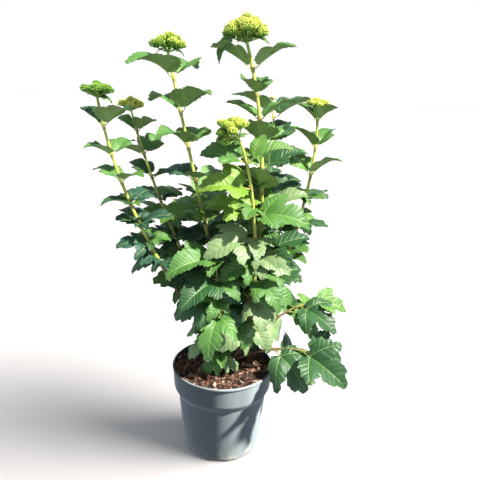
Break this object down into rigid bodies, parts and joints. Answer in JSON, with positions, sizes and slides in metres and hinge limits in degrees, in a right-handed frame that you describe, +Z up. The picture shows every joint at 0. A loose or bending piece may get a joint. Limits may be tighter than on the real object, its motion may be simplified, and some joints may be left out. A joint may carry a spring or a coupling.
{
  "type": "potted snowball viburnum",
  "caption": "Snowball viburnum shrub in bud, with lobed leaves in pairs on upright canes, growing in its round plastic nursery pot.",
  "frame": {"origin": "centre of the flat underside of the pot, on the ground", "axes": "+Z up along the pot's axis, +X to the right and +Y away from the viewer as the plant is seen from the front"},
  "size_m": [0.5307, 0.3763, 0.9283],
  "materials": {
    "pot": "satin",
    "soil": "matte",
    "bark": "matte",
    "foliage": "satin"
  },
  "bodies": {
    "root": {"pot": "pot", "soil": "soil", "trunk": "bark", "bough_centre": "bark", "bough_left_tall": "bark", "bough_right": "bark", "bough_far_left": "bark", "bough_left": "bark", "bough_back": "bark", "bough_front_left": "bark", "bough_front_right": "bark", "bough_back_left": "bark", "bough_back_right": "bark", "bough_back_low": "bark", "bough_right_low": "bark", "bough_right_foot": "bark", "bough_left_low": "bark", "bough_front_low": "bark", "mass_centre": "foliage", "mass_left_tall": "foliage", "mass_right": "foliage", "mass_far_left": "foliage", "mass_left": "foliage", "mass_back": "foliage", "mass_front_left": "foliage", "mass_front_right": "foliage", "mass_back_left": "foliage", "mass_back_right": "foliage", "mass_back_low": "foliage", "mass_right_low": "foliage", "mass_right_foot": "foliage", "mass_left_low": "foliage", "mass_front_low": "foliage"}
  },
  "joints": []
}
